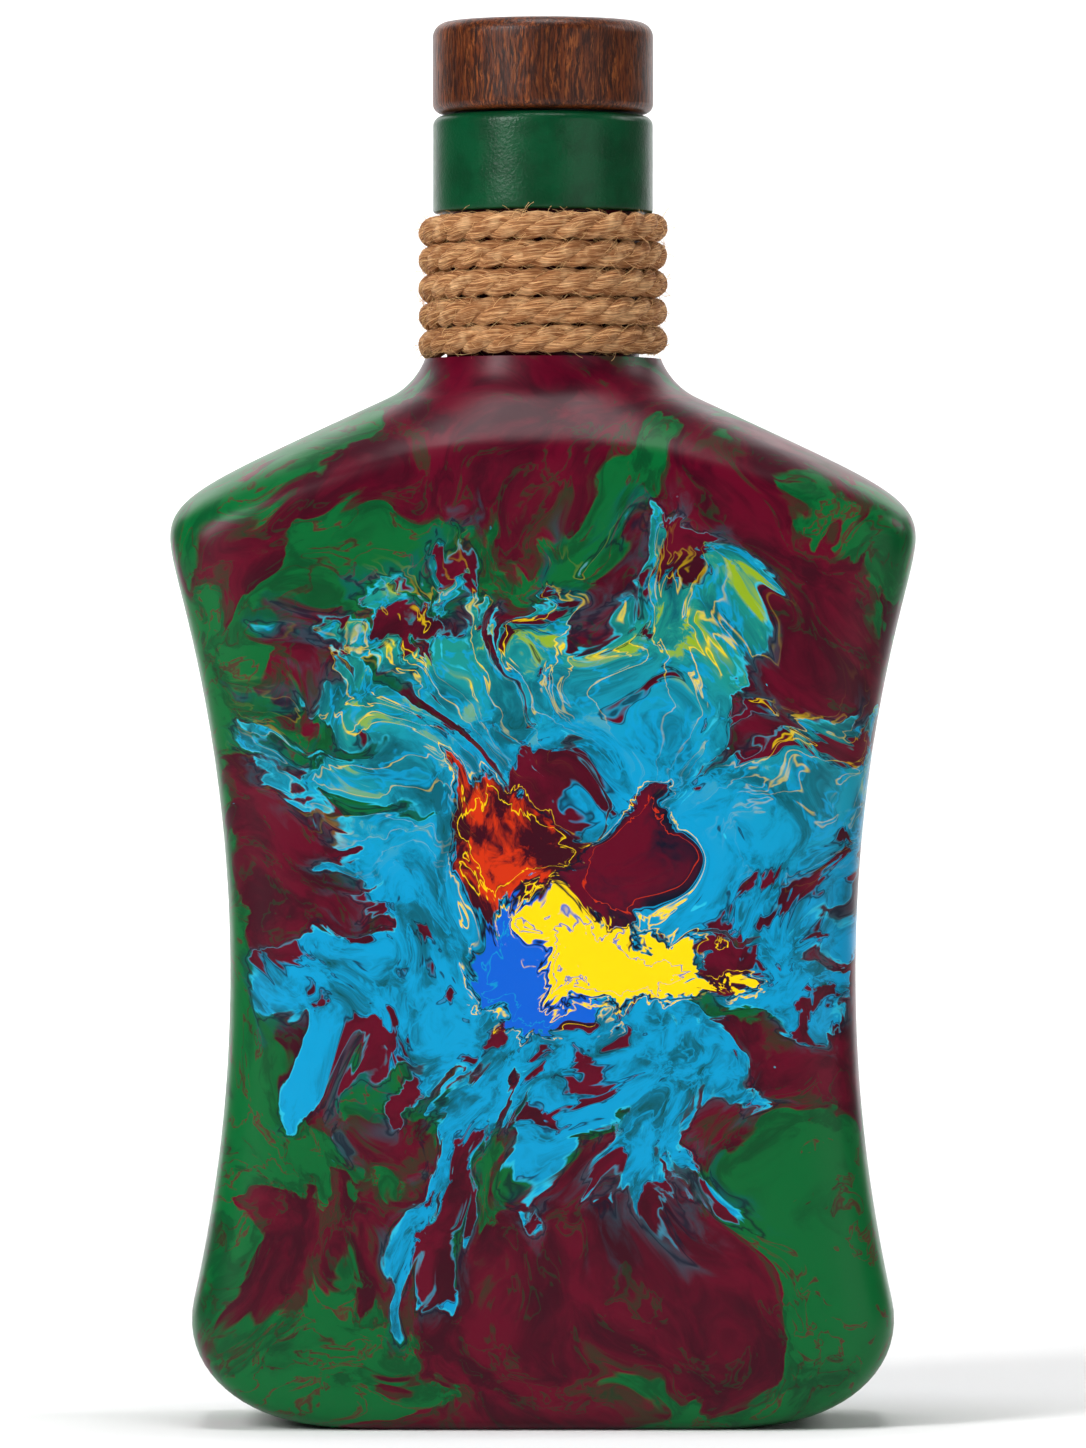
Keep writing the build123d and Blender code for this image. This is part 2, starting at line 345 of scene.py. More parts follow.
def bottleRings():
    # Returns the rings, from the punt up the outside and down the inside, and how many of them have paint (slot 0) on
    # the faces above; the faces above the later rings are glass (slot 1)
    b = bottle
    rings = [[(x * f, y * f, b["punt"][2]) for x, y, z in puntRing(1)] for f in b["hubShares"]]
    rings += [puntRing(1), puntRing(b["puntHalf"]), puntRing(0)]
    rings.append([((x + X) / 2, (y + Y) / 2, 0) for (x, y, _), (X, Y, _) in zip(puntRing(0), outerRing(0))])
    rings += [outerRing(b["footHeight"] * (i / 20) ** 2) for i in range(21)]
    rings += [outerRing(h) for h in spread(b["footHeight"], b["bendHeight"], 42)[1:]]
    rings += [outerRing(h) for h in spread(b["bendHeight"], b["ledgeHeight"], 90)[1:]]
    rings += [roundRing(r, b["ledgeHeight"]) for r in (*b["ledgeRings"], b["neckRadius"])]
    neckHeights = spread(b["ledgeHeight"], b["rimHeight"] - b["rimRound"], 8)[1:]
    rings += [roundRing(b["neckRadius"], h) for h in neckHeights]
    painted = len(rings) - 1
    rim = b["rimHeight"]
    for r, h in rounded((b["neckRadius"], rim), (b["neckRadius"], rim - 9), (0, rim), b["rimRound"], 5)[1:]:
        rings.append(roundRing(r, h))
    rings += [roundRing(r, rim) for r in (b["rimRing"], b["boreRadius"] + b["mouthChamfer"])]
    top = max(hollowTop(b["shoulderSlope"], b["shoulderTop"]), hollowTop(b["roofSlope"], b["roofTop"]))
    rings += [roundRing(b["boreRadius"], h) for h in spread(rim - b["mouthChamfer"], top, 8)]
    rings += [innerRing(h) for h in reversed(spread(b["hollowBend"], top, 34))]
    low = b["baseThickness"]
    rings += [innerRing(h) for h in reversed(spread(low + b["heelHeight"], b["hollowBend"], 22)[:-1])]
    rings += [innerRing(low + b["heelHeight"] * (i / 12) ** 2) for i in reversed(range(12))]
    last = innerRing(low)
    rings += [[(x * f, y * f, low) for x, y, z in last] for f in reversed(b["hubShares"])]
    return rings, painted


def pourMap(thing, rings):
    # UV in units of 100 mm along the surface from the front's middle, and for the back half from its middle
    around = bottle["around"]
    quarter, half = around // 4, around // 2
    along = []
    for ring in rings:
        steps = [math.dist(ring[i], ring[(i + 1) % around]) for i in range(around)]
        walked = [0.0]
        for step in steps:
            walked.append(walked[-1] + step)
        along.append(walked)
    layer = thing.data.uv_layers.new(name="pour")
    for face in thing.data.polygons:
        corners = [(v // around, v % around) for v in face.vertices]
        columns = [i for ring, i in corners if ring < len(rings)]
        crosses = max(columns) - min(columns) > 1
        for loop, (ring, i) in zip(face.loop_indices, corners):
            if ring >= len(rings):
                layer.data[loop].uv = (10.0, 0.0)
                continue
            i = around if crosses and i == 0 else i
            walked = along[ring]
            middle = (max(columns) + min(columns)) / 2 if not crosses else around - 0.5
            height = rings[ring][i % around][2] / 100
            if middle < quarter:
                layer.data[loop].uv = (walked[i] / 100, height)
            elif middle > around - quarter:
                layer.data[loop].uv = ((walked[i] - walked[around]) / 100, height)
            else:
                layer.data[loop].uv = (10 + (walked[half] - walked[i]) / 100, height)


pour = {
    "green": ink(0, 96, 44), "deepGreen": ink(0, 56, 28), "maroon": ink(94, 0, 30),
    "deepMaroon": ink(56, 0, 20),
    "cyan": ink(0, 150, 200), "paleCyan": ink(40, 190, 220), "teal": ink(0, 84, 98),
    "seaGreen": ink(24, 136, 96),
    "blue": ink(8, 92, 205), "yellow": ink(255, 214, 0), "orange": ink(205, 48, 8), "night": ink(6, 12, 34),
    "lime": ink(140, 170, 30),
    "centre": (4.0, 96.0), "backCentre": (-8.0, 84.0),
    # lump size and push of each stir of the paint
    "warps": ((46.0, 60.0), (17.0, 22.0), (6.0, 7.0), (2.2, 1.7)),
    # reach of the splash to the sides, down and up
    "reach": (67.0, 88.0, 72.0), "rays": 2.4, "swirl": 0.7, "swirlReach": 26.0,
    "seed": 3.7,
    # heart: place from the middle, half sizes, noise seed and the line inside the edge
    "patches": {
        "blue": (-3.0, -14.0, 12.0, 9.0, 51.0, "cyan"),
        "yellow": (12.0, -10.0, 15.0, 7.0, 52.0, "blue"),
        "red": (-12.0, 2.0, 9.0, 8.0, 53.0, "yellow"),
        "dark": (5.0, 8.0, 6.0, 7.0, 54.0, "orange"),
    },
}


def pouredPaint():
    material, tree, shader = newMaterial("pouredPaint", Roughness=0.34, Specular_IOR_Level=0.17)
    p = pour
    place = objectPlace(tree)
    push = None
    for step, (size, amount) in enumerate(p["warps"]):
        at = place if push is None else vectorMath("ADD", place, push)
        stir = cloud(at, size, p["seed"] + step, detail=1.5, colour=True)
        stir = scaled(vectorMath("SUBTRACT", stir, (0.5, 0.5, 0.5)), amount)
        push = stir if push is None else vectorMath("ADD", push, stir)
    stirred = vectorMath("ADD", place, push)
    pushX, _, pushZ = parts(push)

    uv = wire(tree, "ShaderNodeUVMap", uv_map="pour")
    u, v, _ = parts(scaled(uv, 100.0))
    isBack = u.math("GREATER_THAN", 500.0)
    flatU = u - isBack * 1000.0
    dx = flatU + pushX * 0.8 - mixed(isBack, p["centre"][0], p["backCentre"][0])
    dy = v + pushZ * 0.8 - mixed(isBack, p["centre"][1], p["backCentre"][1])
    apart = (dx * dx + dy * dy).math("SQRT") + 0.01
    spin = (apart / (-p["swirlReach"])).math("EXPONENT") * p["swirl"]
    cosine, sine = spin.math("COSINE"), spin.math("SINE")
    sx, sy = dx * cosine - dy * sine, dx * sine + dy * cosine
    alongX, alongY = sx / apart, sy / apart
    farX = dx / p["reach"][0]
    farY = dy / mixed(dy.rise(-5.0, 5.0), p["reach"][1], p["reach"][2])
    far = (farX * farX + farY * farY).math("SQRT")

    # ground: green with maroon pools, and smoke where they meet
    leftEdge = (flatU * -1.0).rise(38.0, 60.0)
    lowRight = flatU.rise(24.0, 46.0) * v.rise(64.0, 34.0)
    lowLeft = (flatU * -1.0).rise(24.0, 42.0) * v.rise(34.0, 14.0)
    topLeft = (flatU * -1.0).rise(14.0, 34.0) * v.rise(138.0, 154.0)
    bare = leftEdge.math("MAXIMUM", lowRight).math("MAXIMUM", lowLeft).math("MAXIMUM", topLeft)
    pools = cloud(stirred, 30.0, 11.0, detail=3.0, rough=0.55) - bare * 0.15 + 0.06
    feathers = cloud(stirred, 7.0, 5.0, detail=4.0, rough=0.62)
    smoke = cloud(stirred, 11.0, 2.0, detail=5.0, rough=0.62)
    wisps = cloud(vectorMath("ADD", stirred, scaled(push, 1.2)), 15.0, 6.0, detail=4.0, rough=0.6)
    poolMask = (pools + (feathers - 0.5) * 0.07).rise(0.492, 0.506)
    green = blend(smoke.rise(0.50, 0.70) * 0.6, p["green"], p["deepGreen"])
    maroon = blend(smoke.rise(0.40, 0.62), p["maroon"], p["deepMaroon"])
    colour = blend(poolMask, green, maroon)
    colour = blend(wisps.near(0.52, 0.022) * 0.75, colour, maroon)
    colour = blend(wisps.near(0.44, 0.020) * poolMask * 0.6, colour, p["deepGreen"])
    veil = (pools + (smoke - 0.5) * 0.6).near(0.488, 0.045) * 0.6
    colour = blend(veil, colour, p["deepGreen"])

    # splash: rays that run out from the middle
    ray = combined(tree, alongX * p["rays"], alongY * p["rays"], apart * 0.016 + isBack * 7.0)
    wide = cloud(ray, 1.0, 21.0, detail=3.0, rough=0.55)
    thin = cloud(scaled(ray, 3.0), 1.0, 31.0, detail=3.0, rough=0.6)
    level = far.rise(0.10, 0.95) * 0.115 + far.rise(0.75, 1.2) * 0.25 + isBack * 0.03 + 0.40
    rayField = wide * 0.62 + thin * 0.38 + (feathers - 0.5) * 0.10 - level
    splash = rayField.rise(0.0, 0.012)
    body = cloud(stirred, 8.0, 8.0, detail=5.0, rough=0.66)
    upper = (dy / apart).rise(-0.1, 0.8) * apart.rise(16.0, 40.0)
    deep = blend(upper * 0.8, p["cyan"], p["seaGreen"])
    wash = blend(body.rise(0.42, 0.62) * 0.9, deep, p["teal"])
    wash = blend((wisps + (thin - 0.5) * 0.5).near(0.5, 0.035) * 0.8, wash, p["cyan"])
    wash = blend(body.rise(0.60, 0.68) * smoke.rise(0.42, 0.56) * 0.8, wash, p["deepGreen"])
    wash = blend(upper * body.rise(0.46, 0.40) * thin.rise(0.48, 0.56), wash, p["lime"])
    colour = blend(rayField.rise(-0.06, 0.0) * body.rise(0.42, 0.6) * 0.6, colour, p["teal"])
    colour = blend(splash, colour, wash)
    colour = blend(rayField.near(0.008, 0.008) * body.rise(0.62, 0.44) * 0.8, colour, p["paleCyan"])
    colour = blend(rayField.near(-0.010, 0.008) * 0.75, colour, p["night"])

    # pools that show through the splash
    holes = cloud(stirred, 17.0, 44.0, detail=4.0, rough=0.58)
    holeField = holes + apart.rise(24.0, 60.0) * 0.03
    hole = holeField.rise(0.555, 0.568)
    colour = blend(hole * splash, colour, maroon)
    colour = blend(holeField.near(0.552, 0.008) * splash * 0.8, colour, p["night"])

    # heart: bright patches round the middle, each with thin lines at its edge
    def patch(under, over, x, y, across, up, seed, line):
        px, py = (sx - x) / across, (sy - y) / up
        field = (px * px + py * py).math("SQRT") + (cloud(stirred, 11.0, seed, detail=4.0, rough=0.6) - 0.5) * 2.8
        field = field + isBack * 3.0
        under = blend(field.near(1.26, 0.03) * body.rise(0.58, 0.46), under, p["yellow"])
        under = blend(field.near(1.15, 0.05), under, p["night"])
        under = blend(field.rise(1.10, 1.06), under, over)
        return blend(field.near(0.82, 0.03) * 0.9, under, line)

    red = blend(body.rise(0.42, 0.54), p["orange"], p["deepMaroon"])
    dark = blend(smoke.rise(0.40, 0.56), p["maroon"], p["night"])
    fills = {"blue": p["blue"], "yellow": p["yellow"], "red": red, "dark": dark}
    for name, (x, y, across, up, seed, line) in p["patches"].items():
        colour = patch(colour, fills[name], x, y, across, up, seed, p[line])

    # yellow threads that run up and out, and a few specks
    threads = thin.near(0.53, 0.012) * upper * apart.rise(62.0, 30.0) * wide.rise(0.40, 0.48)
    colour = blend(threads * (isBack * -1.0 + 1.0), colour, p["yellow"])
    dots = wire(tree, "ShaderNodeTexVoronoi", {"Vector": stirred, "Scale": 1 / 7.0}, feature="F1")
    colour = blend(dots.rise(0.05, 0.03) * apart.rise(70.0, 40.0) * 0.9, colour, p["paleCyan"])
    plug(shader, "Base Color", colour)

    # satin coat: slow ripples, thin paint edges and a fine tooth
    ripple = cloud(place, 9.0, 61.0, detail=2.0)
    tooth = cloud(place, 0.55, 62.0, detail=2.0)
    height = ripple * 0.5 + tooth * 0.035 + (splash + poolMask * 0.6 + hole * 0.5) * 0.05
    plug(shader, "Normal", bump(height, 0.35, 0.0006))
    plug(shader, "Roughness", mixed(cloud(place, 6.0, 63.0, detail=3.0), 0.26, 0.42))
    return material


def clearGlass():
    material, tree, shader = newMaterial("clearGlass", Roughness=0.03, IOR=1.5, Transmission_Weight=1.0)
    shader.inputs["Base Color"].default_value = (0.93, 0.97, 0.95, 1)
    plug(shader, "Normal", bump(cloud(objectPlace(tree), 14.0, 5.0, detail=1.0), 0.15, 0.0005))
    return material


def makeBottle():
    rings, painted = bottleRings()
    points = [point for ring in rings for point in ring]
    points += [(0, 0, bottle["punt"][2]), (0, 0, bottle["baseThickness"])]
    around = bottle["around"]
    faces = ringFaces(len(rings), around)
    slots = [0 if index // around < painted or len(faces) - 2 * around <= index < len(faces) - around else 1
             for index in range(len(faces))]
    glass = clearGlass()
    thing = meshObject("bottleBody", points, faces, [pouredPaint(), glass], slots)
    pourMap(thing, rings)
    thing.data.set_sharp_from_angle(angle=math.radians(40))
    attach(thing, "bottle")
    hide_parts("glass_bottle")


makeBottle()
print("bottle made")


# Collar

collar = {
    "bottom": 206.815, "top": 223.465, "radius": 18.85, "bore": 16.6, "mouth": 11.5, "flange": 0.8,
    "topRound": 1.7, "bottomRound": 0.5, "paint": ink(0, 58, 30), "paintLight": ink(0, 70, 38),
}


def collarPaint():
    material, tree, shader = newMaterial("collarPaint", Roughness=0.33, Specular_IOR_Level=0.24)
    place = objectPlace(tree)
    tone = cloud(place, 5.0, 1.0, detail=3.0)
    plug(shader, "Base Color", blend(tone.rise(0.35, 0.65), collar["paint"], collar["paintLight"]))
    peel = cloud(place, 0.5, 2.0, detail=2.0) + cloud(place, 2.6, 3.0, detail=1.0) * 0.8
    plug(shader, "Normal", bump(peel, 0.32, 0.00022))
    plug(shader, "Roughness", mixed(cloud(place, 1.4, 4.0, detail=2.0), 0.24, 0.40))
    return material


def makeCollar():
    c = collar
    low = (c["radius"], c["bottom"])
    profile = rounded(low, (c["bore"], c["bottom"]), (c["radius"], c["top"]), c["bottomRound"], 4)
    profile += [(c["radius"], h) for h in spread(c["bottom"] + 1.5, c["top"] - 3, 4)]
    profile += rounded((c["radius"], c["top"]), (c["radius"], c["bottom"]), (0, c["top"]), c["topRound"], 10)
    profile += [(14.0, c["top"]), (c["mouth"], c["top"]), (c["mouth"], c["top"] - c["flange"])]
    profile += [(14.0, c["top"] - c["flange"]), (c["bore"], c["top"] - c["flange"]), (c["bore"], c["bottom"])]
    thing = turned("neckSleeve", profile, [collarPaint()])
    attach(thing, "bottle")
    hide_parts("neck_collar")


makeCollar()
print("collar made")


# Stopper: wood head, black insert, ringed sleeve and washer

stopper = {
    "headRadius": 18.9, "headLow": 223.865, "headHigh": 239.965, "crown": 0.5,
    "topRound": 2.6, "bottomRound": 1.7,
    "recess": 15.4, "flangeTop": 225.665, "flangeLow": 224.465, "flangeRadius": 15.0,
    "tenonRadius": 7.0, "tenonTop": 233.665, "holeRadius": 7.05, "holeTop": 234.065,
    "stemRadius": 6.0, "stemLow": 204.465, "shankLow": 203.465, "shankRadius": 9.94, "shankBore": 6.05,
    "chamfer": 1.5, "ringDepth": 0.5, "ringWidth": 1.2, "ringPitch": 4.6,
    "washerLow": 223.465, "washerInner": 10.35, "washerEdge": 0.25,
    "wood": ink(104, 48, 18), "woodDark": ink(38, 14, 7), "woodStreak": ink(156, 84, 36),
    "cork": ink(196, 162, 118), "corkDark": ink(150, 112, 74),
}


def darkWood():
    material, tree, shader = newMaterial("darkWood", Roughness=0.3, Specular_IOR_Level=0.25)
    place = objectPlace(tree)
    sway = scaled(vectorMath("SUBTRACT", cloud(place, 7.0, 1.0, colour=True), (0.5, 0.5, 0.5)), 2.0)
    grainPlace = vectorMath("ADD", place, sway)
    broad = cloud(grainPlace, 3.4, 2.0, detail=3.0, rough=0.6, lumps=(1, 1, 0.2))
    grain = cloud(grainPlace, 0.55, 3.0, detail=4.0, rough=0.65, lumps=(1, 1, 0.11))
    pores = cloud(grainPlace, 0.26, 4.0, detail=2.0, rough=0.6, lumps=(1, 1, 0.08))
    streak = cloud(grainPlace, 0.4, 5.0, detail=3.0, rough=0.6, lumps=(1, 1, 0.1))
    colour = blend(grain.rise(0.40, 0.60), stopper["woodDark"], stopper["wood"])
    colour = blend(streak.rise(0.50, 0.66) * 0.7, colour, stopper["woodStreak"])
    colour = blend(broad.rise(0.66, 0.36) * 0.45, colour, stopper["woodDark"])
    colour = blend(pores.rise(0.54, 0.64) * 0.85, colour, stopper["woodDark"])
    plug(shader, "Base Color", colour)
    plug(shader, "Roughness", mixed(pores, 0.24, 0.5))
    plug(shader, "Normal", bump(pores * -1.0 + grain * 0.4, 0.45, 0.0002))
    return material


def blackRubber():
    material, tree, shader = newMaterial("blackRubber", Roughness=0.5)
    shader.inputs["Base Color"].default_value = (0.012, 0.012, 0.013, 1)
    place = objectPlace(tree)
    plug(shader, "Normal", bump(cloud(place, 0.4, 1.0, detail=2.0), 0.25, 0.0001))
    plug(shader, "Roughness", mixed(cloud(place, 3.0, 2.0), 0.32, 0.6))
    return material


def mouldedCork():
    material, tree, shader = newMaterial("mouldedCork", Roughness=0.6)
    place = objectPlace(tree)
    grain = cloud(place, 0.7, 1.0, detail=3.0, rough=0.6)
    colour = blend(grain.rise(0.35, 0.6), stopper["corkDark"], stopper["cork"])
    plug(shader, "Base Color", colour)
    plug(shader, "Normal", bump(grain, 0.3, 0.00015))
    return material


def makeStopper():
    s = stopper
    edge, low, high = s["headRadius"], s["headLow"], s["headHigh"]
    profile = [(0, s["holeTop"]), (3.0, s["holeTop"]), (s["holeRadius"], s["holeTop"]),
               (s["holeRadius"], s["flangeTop"]), (s["recess"], s["flangeTop"]), (s["recess"], low)]
    profile += rounded((edge, low), (s["recess"], low), (edge, high), s["bottomRound"], 8)
    profile += [(edge, h) for h in spread(low + 2.5, high - 4, 4)]
    profile += rounded((edge, high - s["crown"]), (edge, low), (0, high), s["topRound"], 12)
    profile += [(r, high - s["crown"] * (r / edge) ** 2) for r in (14.0, 11.0, 8.0, 5.0, 2.0)]
    profile.append((0, high))
    head = turned("stopperDisc", profile, [darkWood()], around=160)
    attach(head, "stopper")
    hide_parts("stopper_head")

    black = blackRubber()
    profile = [(0, s["stemLow"]), (3.0, s["stemLow"]), (s["stemRadius"], s["stemLow"]),
               (s["stemRadius"], s["flangeLow"]),
               (s["flangeRadius"] - 0.2, s["flangeLow"]), (s["flangeRadius"], s["flangeLow"] + 0.2),
               (s["flangeRadius"], s["flangeTop"] - 0.2), (s["flangeRadius"] - 0.2, s["flangeTop"]),
               (s["tenonRadius"], s["flangeTop"]), (s["tenonRadius"], s["tenonTop"] - 0.5),
               (s["tenonRadius"] - 0.5, s["tenonTop"]), (3.0, s["tenonTop"]), (0, s["tenonTop"])]
    core = turned("stopperCore", profile, [black], around=96)
    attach(core, "stopper")
    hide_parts("stopper_insert")

    radius, dent = s["shankRadius"], s["shankRadius"] - s["ringDepth"]
    profile = [(0, s["shankLow"]), (4.0, s["shankLow"]), (radius - s["chamfer"], s["shankLow"]),
               (radius, s["shankLow"] + s["chamfer"])]
    for i in range(3):
        middle = s["shankLow"] + s["chamfer"] + s["ringPitch"] * (i + 1)
        half = s["ringWidth"] / 2
        profile += [(radius, middle - half - 0.15), (dent, middle - half + 0.1),
                    (dent, middle + half - 0.1), (radius, middle + half + 0.15)]
    profile += [(radius, s["flangeLow"]), (s["shankBore"], s["flangeLow"]), (s["shankBore"], s["stemLow"]),
                (3.0, s["stemLow"]), (0, s["stemLow"])]
    sleeve = turned("shankCork", profile, [mouldedCork()], around=96)
    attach(sleeve, "stopper")
    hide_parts("shank_sleeve")

    low, top, inner, outer = s["washerLow"], s["flangeLow"], s["washerInner"], s["flangeRadius"]
    edge = s["washerEdge"]
    profile = [(inner, low), (outer - edge, low), (outer, low + edge),
               (outer, top - edge), (outer - edge, top), (inner, top)]
    washer = turned("sealRing", profile, [black], around=96)
    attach(washer, "seal")
    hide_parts("seal_washer")


makeStopper()
print("stopper made")


# Rope: one path wound on the neck, three twisted strands, loose fibres

rope = {
    "radius": 18.92, "pitch": 4.81, "frontPasses": 5, "level": 184.687, "straight": 4.35,
    "lay": 14.6, "strandOffset": 1.02, "strandRadius": 1.46, "step": 0.42, "sides": 22,
    "fibreSwing": -0.26, "furrow": 0.30,
    "looseCount": 5200, "looseLength": 2.3, "looseRadius": 0.04, "looseSizes": (0.35, 1.25),
    "tiltLow": (0.0, -0.75, -0.8), "tiltHigh": (0.0, -0.02, 0.8),  # radians about the fibre's own axes
    "bendMiddle": (0.5, 0.04, 0.16), "bendEnd": (1.0, 0.16, -0.06),  # shares of the fibre length
    "seed": 7,
    # brown is the darker fibres' colour, and also the painted shade laid in the strands' furrows
    "tan": ink(208, 150, 98), "pale": ink(250, 206, 152), "brown": ink(126, 74, 38),
    "looseTan": ink(226, 180, 124),
}


def ropePath():
    # Middle line of the winding, turn angle 0 at the front; its ends run straight
    climb = rope["pitch"] / (2 * math.pi)

    def place(turn):
        return Vector((rope["radius"] * math.sin(turn), -rope["radius"] * math.cos(turn),
                       rope["level"] + climb * (turn - math.sin(turn))))
    first, last = -math.pi / 2, 2 * math.pi * (rope["frontPasses"] - 1) + math.pi / 2
    count = 1200
    line = [place(first + (last - first) * i / count) for i in range(count + 1)]
    head, tail = (line[0] - line[1]).normalized(), (line[-1] - line[-2]).normalized()
    steps = [rope["straight"] * i / 8 for i in range(1, 9)]
    return [line[0] + head * s for s in reversed(steps)] + line + [line[-1] + tail * s for s in steps]


def pathCurve(name, points):
    curve = bpy.data.curves.new(name, "CURVE")
    curve.dimensions = "3D"
    spline = curve.splines.new("POLY")
    spline.points.add(len(points) - 1)
    for target, point in zip(spline.points, points):
        target.co = (*(point * mm), 1)
    thing = bpy.data.objects.new(name, curve)
    bpy.context.scene.collection.objects.link(thing)
    return thing


def treeWithInputs(name, inputs):
    tree = bpy.data.node_groups.new(name, "GeometryNodeTree")
    tree.interface.new_socket("Geometry", in_out="INPUT", socket_type="NodeSocketGeometry")
    for label, kind in inputs:
        tree.interface.new_socket(label, in_out="INPUT", socket_type=kind)
    tree.interface.new_socket("Geometry", in_out="OUTPUT", socket_type="NodeSocketGeometry")
    entry = tree.nodes.new("NodeGroupInput")
    return tree, {socket.name: Field(tree, socket) for socket in entry.outputs if socket.name}


def finishTree(tree, geometry, material):
    geometry = wire(tree, "GeometryNodeRealizeInstances", (geometry,))
    geometry = wire(tree, "GeometryNodeSetMaterial", {"Geometry": geometry, "Material": material})
    leave = tree.nodes.new("NodeGroupOutput")
    tree.links.new(geometry.socket, leave.inputs[0])


def baked(name, source, tree, values):
    # Runs the tree on the source and keeps the result as a plain mesh object
    modifier = source.modifiers.new(tree.name, "NODES")
    modifier.node_group = tree
    names = {item.name: item.identifier for item in tree.interface.items_tree if item.in_out == "INPUT"}
    for label, value in values.items():
        modifier[names[label]] = value
    source.update_tag()
    graph = bpy.context.evaluated_depsgraph_get()
    mesh = bpy.data.meshes.new_from_object(source.evaluated_get(graph))
    source.modifiers.remove(modifier)
    mesh.name = name
    mesh.polygons.foreach_set("use_smooth", [True] * len(mesh.polygons))
    thing = bpy.data.objects.new(name, mesh)
    bpy.context.scene.collection.objects.link(thing)
    return thing


def fibrePlace(along, rim):
    # Place on a strand's skin, turned so that its fibres run along the rope
    rimX, rimY, _ = parts(rim)
    swing = along * rope["fibreSwing"]
    turnedX = rimX * swing.math("COSINE") - rimY * swing.math("SINE")
    turnedY = rimX * swing.math("SINE") + rimY * swing.math("COSINE")
    return combined(along.tree, turnedX * rope["strandRadius"], turnedY * rope["strandRadius"], along * 0.055)


def strandTree():
    tree, given = treeWithInputs("ropeStrands", (
        ("Lay", "NodeSocketFloat"), ("Strand Offset", "NodeSocketFloat"), ("Strand Radius", "NodeSocketFloat"),
        ("Step", "NodeSocketFloat"), ("Sides", "NodeSocketInt"), ("Furrow", "NodeSocketFloat"),
        ("Material", "NodeSocketMaterial")))
    line = wire(tree, "GeometryNodeResampleCurve", {"Curve": given["Geometry"], "Length": given["Step"]},
                mode="LENGTH")
    copies = tree.nodes.new("GeometryNodeDuplicateElements")
    copies.domain = "SPLINE"
    copies.inputs["Amount"].default_value = 3
    tree.links.new(line.socket, copies.inputs["Geometry"])
    strand = Field(tree, copies.outputs["Duplicate Index"])
    parameter = tree.nodes.new("GeometryNodeSplineParameter")
    length = Field(tree, parameter.outputs["Length"])
    position = wire(tree, "GeometryNodeInputPosition")
    outward = vectorMath("NORMALIZE", vectorMath("MULTIPLY", position, (1, 1, 0)))
    tangent = wire(tree, "GeometryNodeInputTangent")
    sideways = vectorMath("NORMALIZE", vectorMath("CROSS_PRODUCT", tangent, outward))
    wobble = (cloud(scaled(position, 1 / mm), 6.0, 1.0) - 0.5) * 0.8
    turn = length / given["Lay"] * (-2 * math.pi) + strand * (2 * math.pi / 3) + wobble
    shift = vectorMath("ADD", scaled(outward, turn.math("COSINE")), scaled(sideways, turn.math("SINE")))
    shift = scaled(shift, given["Strand Offset"])
    marked = wire(tree, "GeometryNodeStoreNamedAttribute",
                  {"Geometry": Field(tree, copies.outputs["Geometry"]), "Name": "along",
                   "Value": length / mm + strand * 700.0}, data_type="FLOAT", domain="POINT")
    moved = wire(tree, "GeometryNodeSetPosition", {"Geometry": marked, "Offset": shift})
    swell = cloud(scaled(position, 1 / mm), 3.0, 2.0) * 0.24 + 0.88
    moved = wire(tree, "GeometryNodeSetCurveRadius", {"Curve": moved, "Radius": swell})
    ring = wire(tree, "GeometryNodeCurvePrimitiveCircle",
                {"Resolution": given["Sides"], "Radius": given["Strand Radius"]}, mode="RADIUS")
    ring = wire(tree, "GeometryNodeStoreNamedAttribute",
                {"Geometry": ring, "Name": "rim",
                 "Value": vectorMath("NORMALIZE", wire(tree, "GeometryNodeInputPosition"))},
                data_type="FLOAT_VECTOR", domain="POINT")
    tube = wire(tree, "GeometryNodeCurveToMesh", {"Curve": moved, "Profile Curve": ring, "Fill Caps": True})
    along = wire(tree, "GeometryNodeInputNamedAttribute", {"Name": "along"}, data_type="FLOAT")
    rim = wire(tree, "GeometryNodeInputNamedAttribute", {"Name": "rim"}, data_type="FLOAT_VECTOR")
    furrows = cloud(fibrePlace(along, rim), 0.42, 2.0, detail=2.0, rough=0.6)
    push = scaled(wire(tree, "GeometryNodeInputNormal"), (furrows - 0.55) * given["Furrow"])
    tube = wire(tree, "GeometryNodeSetPosition", {"Geometry": tube, "Offset": push})
    finishTree(tree, tube, given["Material"])
    return tree


